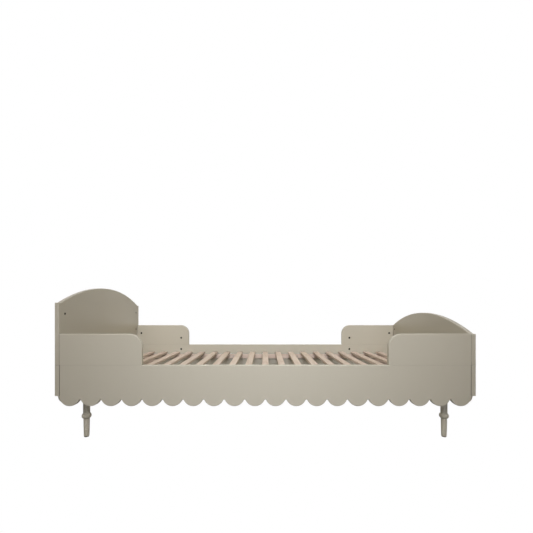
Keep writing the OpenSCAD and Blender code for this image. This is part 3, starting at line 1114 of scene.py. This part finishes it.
@dataclass
class CornerBlocks:
    """The blocks that carry the legs, with their screws, bolts and inserts.

    The ear is the width left at the end of each arm, and the cut clears the boards' corner.
    The sink keeps the free faces inside the solid.
    """

    finishes: Finishes
    ear: float = 24.0 * MM
    cut: float = 40.0 * MM
    sink: float = 0.25 * MM
    ease: float = 1.6 * MM
    ease_steps: int = 3

    def build(self) -> None:
        """Makes the blocks and dresses their fastenings."""
        for side in Side:
            for end in End:
                self.saw(f"corner_block_{side.name.lower()}_{end.name.lower()}", side, end)
        dress(["block_screws", "hanger_bolts", "insert_nuts"], self.finishes.bright_steel)

    def saw(self, node: str, side: Side, end: End) -> None:
        """Makes one block.

        Args:
            node: Name of its solid.
            side: Long side of the bed that it is on.
            end: End of the bed that it is at.
        """
        low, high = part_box(node)
        reach = high[0] - low[0]
        corner = (
            high[0] if end is End.FOOT else low[0],
            high[1] if side is Side.BACK else low[1],
        )
        ear = self.ear - self.sink
        outline = (
            (self.cut, 0.0),
            (reach, 0.0),
            (reach, ear),
            (ear, reach),
            (0.0, reach),
            (0.0, self.cut),
        )
        bm = bmesh.new()
        lower = [
            bm.verts.new((corner[0] - end.value * x, corner[1] - side.value * y, low[2]))
            for x, y in outline
        ]
        face = bm.faces.new(lower)
        raised = bmesh.ops.extrude_face_region(bm, geom=[face])
        tops = [item for item in raised["geom"] if isinstance(item, bmesh.types.BMVert)]
        bmesh.ops.translate(bm, verts=tops, vec=(0, 0, high[2] - low[2] - self.sink))
        bmesh.ops.bevel(
            bm,
            geom=list(bm.edges),
            offset=self.ease,
            segments=self.ease_steps,
            affect="EDGES",
            profile=0.5,
        )
        piece = add_piece(f"sawn_{node}", bm)
        even_shading(piece)
        enter(piece, [node], self.finishes.block_wood)


@dataclass
class BoltedJoints:
    """The bolts, studs, nuts, sleeves and dowels in the painted boards."""

    finishes: Finishes

    def build(self) -> None:
        """Dresses the fastenings."""
        dress(["rail_bolts", "guard_bolts", "guard_studs"], self.finishes.bright_steel)
        # The nuts and sleeves sit down in holes, and their near-black finish is partly painted
        # shade.
        dress(
            ["rail_barrel_nuts", "guard_barrel_nuts", "stud_barrel_nuts", "socket_sleeves"],
            self.finishes.black_steel,
        )
        dress(["guard_dowels", "panel_dowels"], self.finishes.dowel_wood)


# ---- Studio ----


@dataclass(frozen=True)
class Softbox:
    """A soft lamp with an even face. Its size is in metres, its spread in degrees."""

    name: str
    place: Point
    aim: Point
    size: Span
    power: float
    colour: Colour = (1.0, 1.0, 1.0)
    spread: float = 180.0

    def build(self) -> None:
        """Hangs the lamp."""
        data = bpy.data.lights.new(self.name, "AREA")
        data.shape = "RECTANGLE"
        data.size, data.size_y = self.size
        data.energy = self.power
        data.color = self.colour
        data.spread = math.radians(self.spread)
        lamp = bpy.data.objects.new(self.name, data)
        lamp.location = self.place
        towards = Vector(self.aim) - Vector(self.place)
        lamp.rotation_euler = towards.to_track_quat("-Z", "Y").to_euler()
        lamp.visible_camera = False
        lamp.visible_glossy = False
        bpy.context.scene.collection.objects.link(lamp)
        log.info("hung %s", self.name)


def at_both_ends(foot_lamp: Softbox) -> tuple[Softbox, ...]:
    """Repeats a lamp at the head end.

    Args:
        foot_lamp: Lamp as it hangs at the foot end.

    Returns:
        The head end's lamp, mirrored, and the foot end's.
    """
    return tuple(
        replace(
            foot_lamp,
            name=f"{end.name.lower()}_{foot_lamp.name}",
            place=(end.value * foot_lamp.place[0], *foot_lamp.place[1:]),
            aim=(end.value * foot_lamp.aim[0], *foot_lamp.aim[1:]),
        )
        for end in End
    )


@dataclass
class Surroundings:
    """White surroundings that are seen and mirrored. The lamps alone light the bed."""

    shown: Colour = (1.0, 1.0, 1.0)
    glow: Colour = (0.0, 0.0, 0.0)

    def build(self) -> None:
        """Makes the world."""
        world = bpy.data.worlds.new("white_room")
        bpy.context.scene.world = world
        world.use_nodes = True
        nodes, links = world.node_tree.nodes, world.node_tree.links
        nodes.clear()
        rays = nodes.new("ShaderNodeLightPath")
        seen = rays.outputs["Is Camera Ray"]
        for kind in ("Is Glossy Ray", "Is Transmission Ray"):
            either = nodes.new("ShaderNodeMath")
            either.operation = "MAXIMUM"
            links.new(seen, either.inputs[0])
            links.new(rays.outputs[kind], either.inputs[1])
            seen = either.outputs["Value"]
        light = nodes.new("ShaderNodeBackground")
        light.inputs["Color"].default_value = (*self.glow, 1.0)
        shown = nodes.new("ShaderNodeBackground")
        shown.inputs["Color"].default_value = (*self.shown, 1.0)
        choice = nodes.new("ShaderNodeMixShader")
        output = nodes.new("ShaderNodeOutputWorld")
        links.new(seen, choice.inputs["Fac"])
        links.new(light.outputs[0], choice.inputs[1])
        links.new(shown.outputs[0], choice.inputs[2])
        links.new(choice.outputs[0], output.inputs["Surface"])


@dataclass
class Floor:
    """A matt floor that only returns light and isn't seen itself."""

    colour: Colour = (0.35, 0.34, 0.32)
    drift: float = 0.03
    patch_per_metre: float = 3.0
    roughness: Span = (0.90, 0.95)
    grit_depth_mm: float = 0.1
    size: float = 8.0
    drop: float = 0.4 * MM

    def build(self) -> None:
        """Lays the floor."""
        half = self.size / 2
        bm = bmesh.new()
        corners = ((-half, -half), (half, -half), (half, half), (-half, half))
        bm.faces.new([bm.verts.new((x, y, -self.drop)) for x, y in corners])
        floor = add_piece("floor", bm)
        bench = NodeBench("floor_paint")
        patch = bench.noise(bench.place(), self.patch_per_metre)
        tone = bench.blend(
            patch, scaled(self.colour, 1.0 - self.drift), scaled(self.colour, 1.0 + self.drift)
        )
        rough = bench.fitted(patch, (0.0, 1.0), self.roughness)
        normal = bench.relief(patch, self.grit_depth_mm)
        floor.data.materials.append(bench.surface(tone, rough, normal, specular=0.0))
        floor.visible_camera = False


@dataclass
class Viewpoint:
    """The camera: level, facing the long side, with the lens raised.

    Lens and sensor are in millimetres; the shift is a share of the sensor's width.
    """

    place: Point = (0.0, -1.582, 0.5255)
    lens: float = 20.71
    sensor: float = 36.0
    shift: Span = (0.0023, 0.0833)
    seen_from: float = 0.01
    seen_to: float = 100.0

    def build(self) -> None:
        """Sets the camera up."""
        data = bpy.data.cameras.new("view")
        data.lens = self.lens
        data.sensor_width = self.sensor
        data.shift_x, data.shift_y = self.shift
        data.clip_start = self.seen_from
        data.clip_end = self.seen_to
        camera = bpy.data.objects.new("view", data)
        camera.location = self.place
        camera.rotation_euler = (math.radians(90), 0.0, 0.0)
        bpy.context.scene.collection.objects.link(camera)
        bpy.context.scene.camera = camera


@dataclass
class Studio:
    """Lamps, surroundings, floor and camera."""

    lamps: tuple[Softbox, ...] = (
        # The main light, high in front.
        Softbox(
            "key",
            place=(0.0, -1.9, 1.7),
            aim=(0.0, -0.2, 0.3),
            size=(2.0, 0.8),
            power=31.8,
            colour=(1.035, 1.0, 0.94),
        ),
        # Evens out the front and the slats.
        Softbox(
            "front_grid",
            place=(0.0, -3.2, 1.2),
            aim=(0.0, -0.1, 0.3),
            size=(0.5, 0.5),
            power=1.9,
            colour=(0.95, 1.0, 1.1),
            spread=40.0,
        ),
        Softbox(
            "deck_top",
            place=(0.0, -0.2, 2.0),
            aim=(0.0, 0.0, 0.27),
            size=(0.8, 0.5),
            power=1.1,
            colour=(0.9, 1.0, 0.9),
            spread=60.0,
        ),
        # Light the deck's corners and the inner faces of the end boards.
        *at_both_ends(
            Softbox(
                "top",
                place=(1.3, -0.3, 1.6),
                aim=(0.6, 0.0, 0.3),
                size=(0.6, 0.6),
                power=1.4,
                colour=(1.15, 1.0, 1.0),
            )
        ),
        *at_both_ends(
            Softbox(
                "back",
                place=(1.0, 1.0, 0.8),
                aim=(-0.6, 0.0, 0.3),
                size=(0.5, 0.6),
                power=4.4,
                colour=(1.06, 0.98, 0.62),
            )
        ),
        # Light the back guards and the front legs.
        *at_both_ends(
            Softbox(
                "guard",
                place=(0.65, -0.2, 0.9),
                aim=(0.65, 0.36, 0.37),
                size=(0.3, 0.2),
                power=0.18,
                spread=60.0,
            )
        ),
        *at_both_ends(
            Softbox(
                "leg",
                place=(0.75, -1.1, 0.03),
                aim=(0.75, -0.31, 0.03),
                size=(0.3, 0.05),
                power=0.005,
                spread=20.0,
            )
        ),
        # Light the outer faces of the ends and of the back.
        *at_both_ends(
            Softbox(
                "end", place=(2.3, 0.0, 0.17), aim=(0.83, 0.0, 0.3), size=(0.7, 0.2), power=4.5
            )
        ),
        Softbox(
            "behind",
            place=(0.0, 2.2, 0.25),
            aim=(0.0, 0.378, 0.25),
            size=(1.6, 0.2),
            power=5.0,
            colour=(1.0, 1.0, 1.1),
        ),
    )

    def build(self) -> None:
        """Sets everything round the bed up."""
        scene = bpy.context.scene
        scene.view_settings.view_transform = "Standard"
        Surroundings().build()
        Floor().build()
        for lamp in self.lamps:
            lamp.build()
        Viewpoint().build()


def main() -> None:
    """Builds the bed's sub-assemblies in order, then the studio."""
    logging.basicConfig(level=logging.INFO, format="%(name)s: %(message)s")
    first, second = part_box("slat_01"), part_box("slat_02")
    finishes = Finishes(slat_pitch=second[0][0] - first[0][0])
    for part in (
        PaintedCarcass(finishes),
        TurnedLegs(finishes),
        SlatDeck(finishes),
        Bearers(finishes),
        CornerBlocks(finishes),
        BoltedJoints(finishes),
    ):
        log.info("building %s", type(part).__name__)
        part.build()
    Studio().build()


if __name__ == "__main__":
    main()
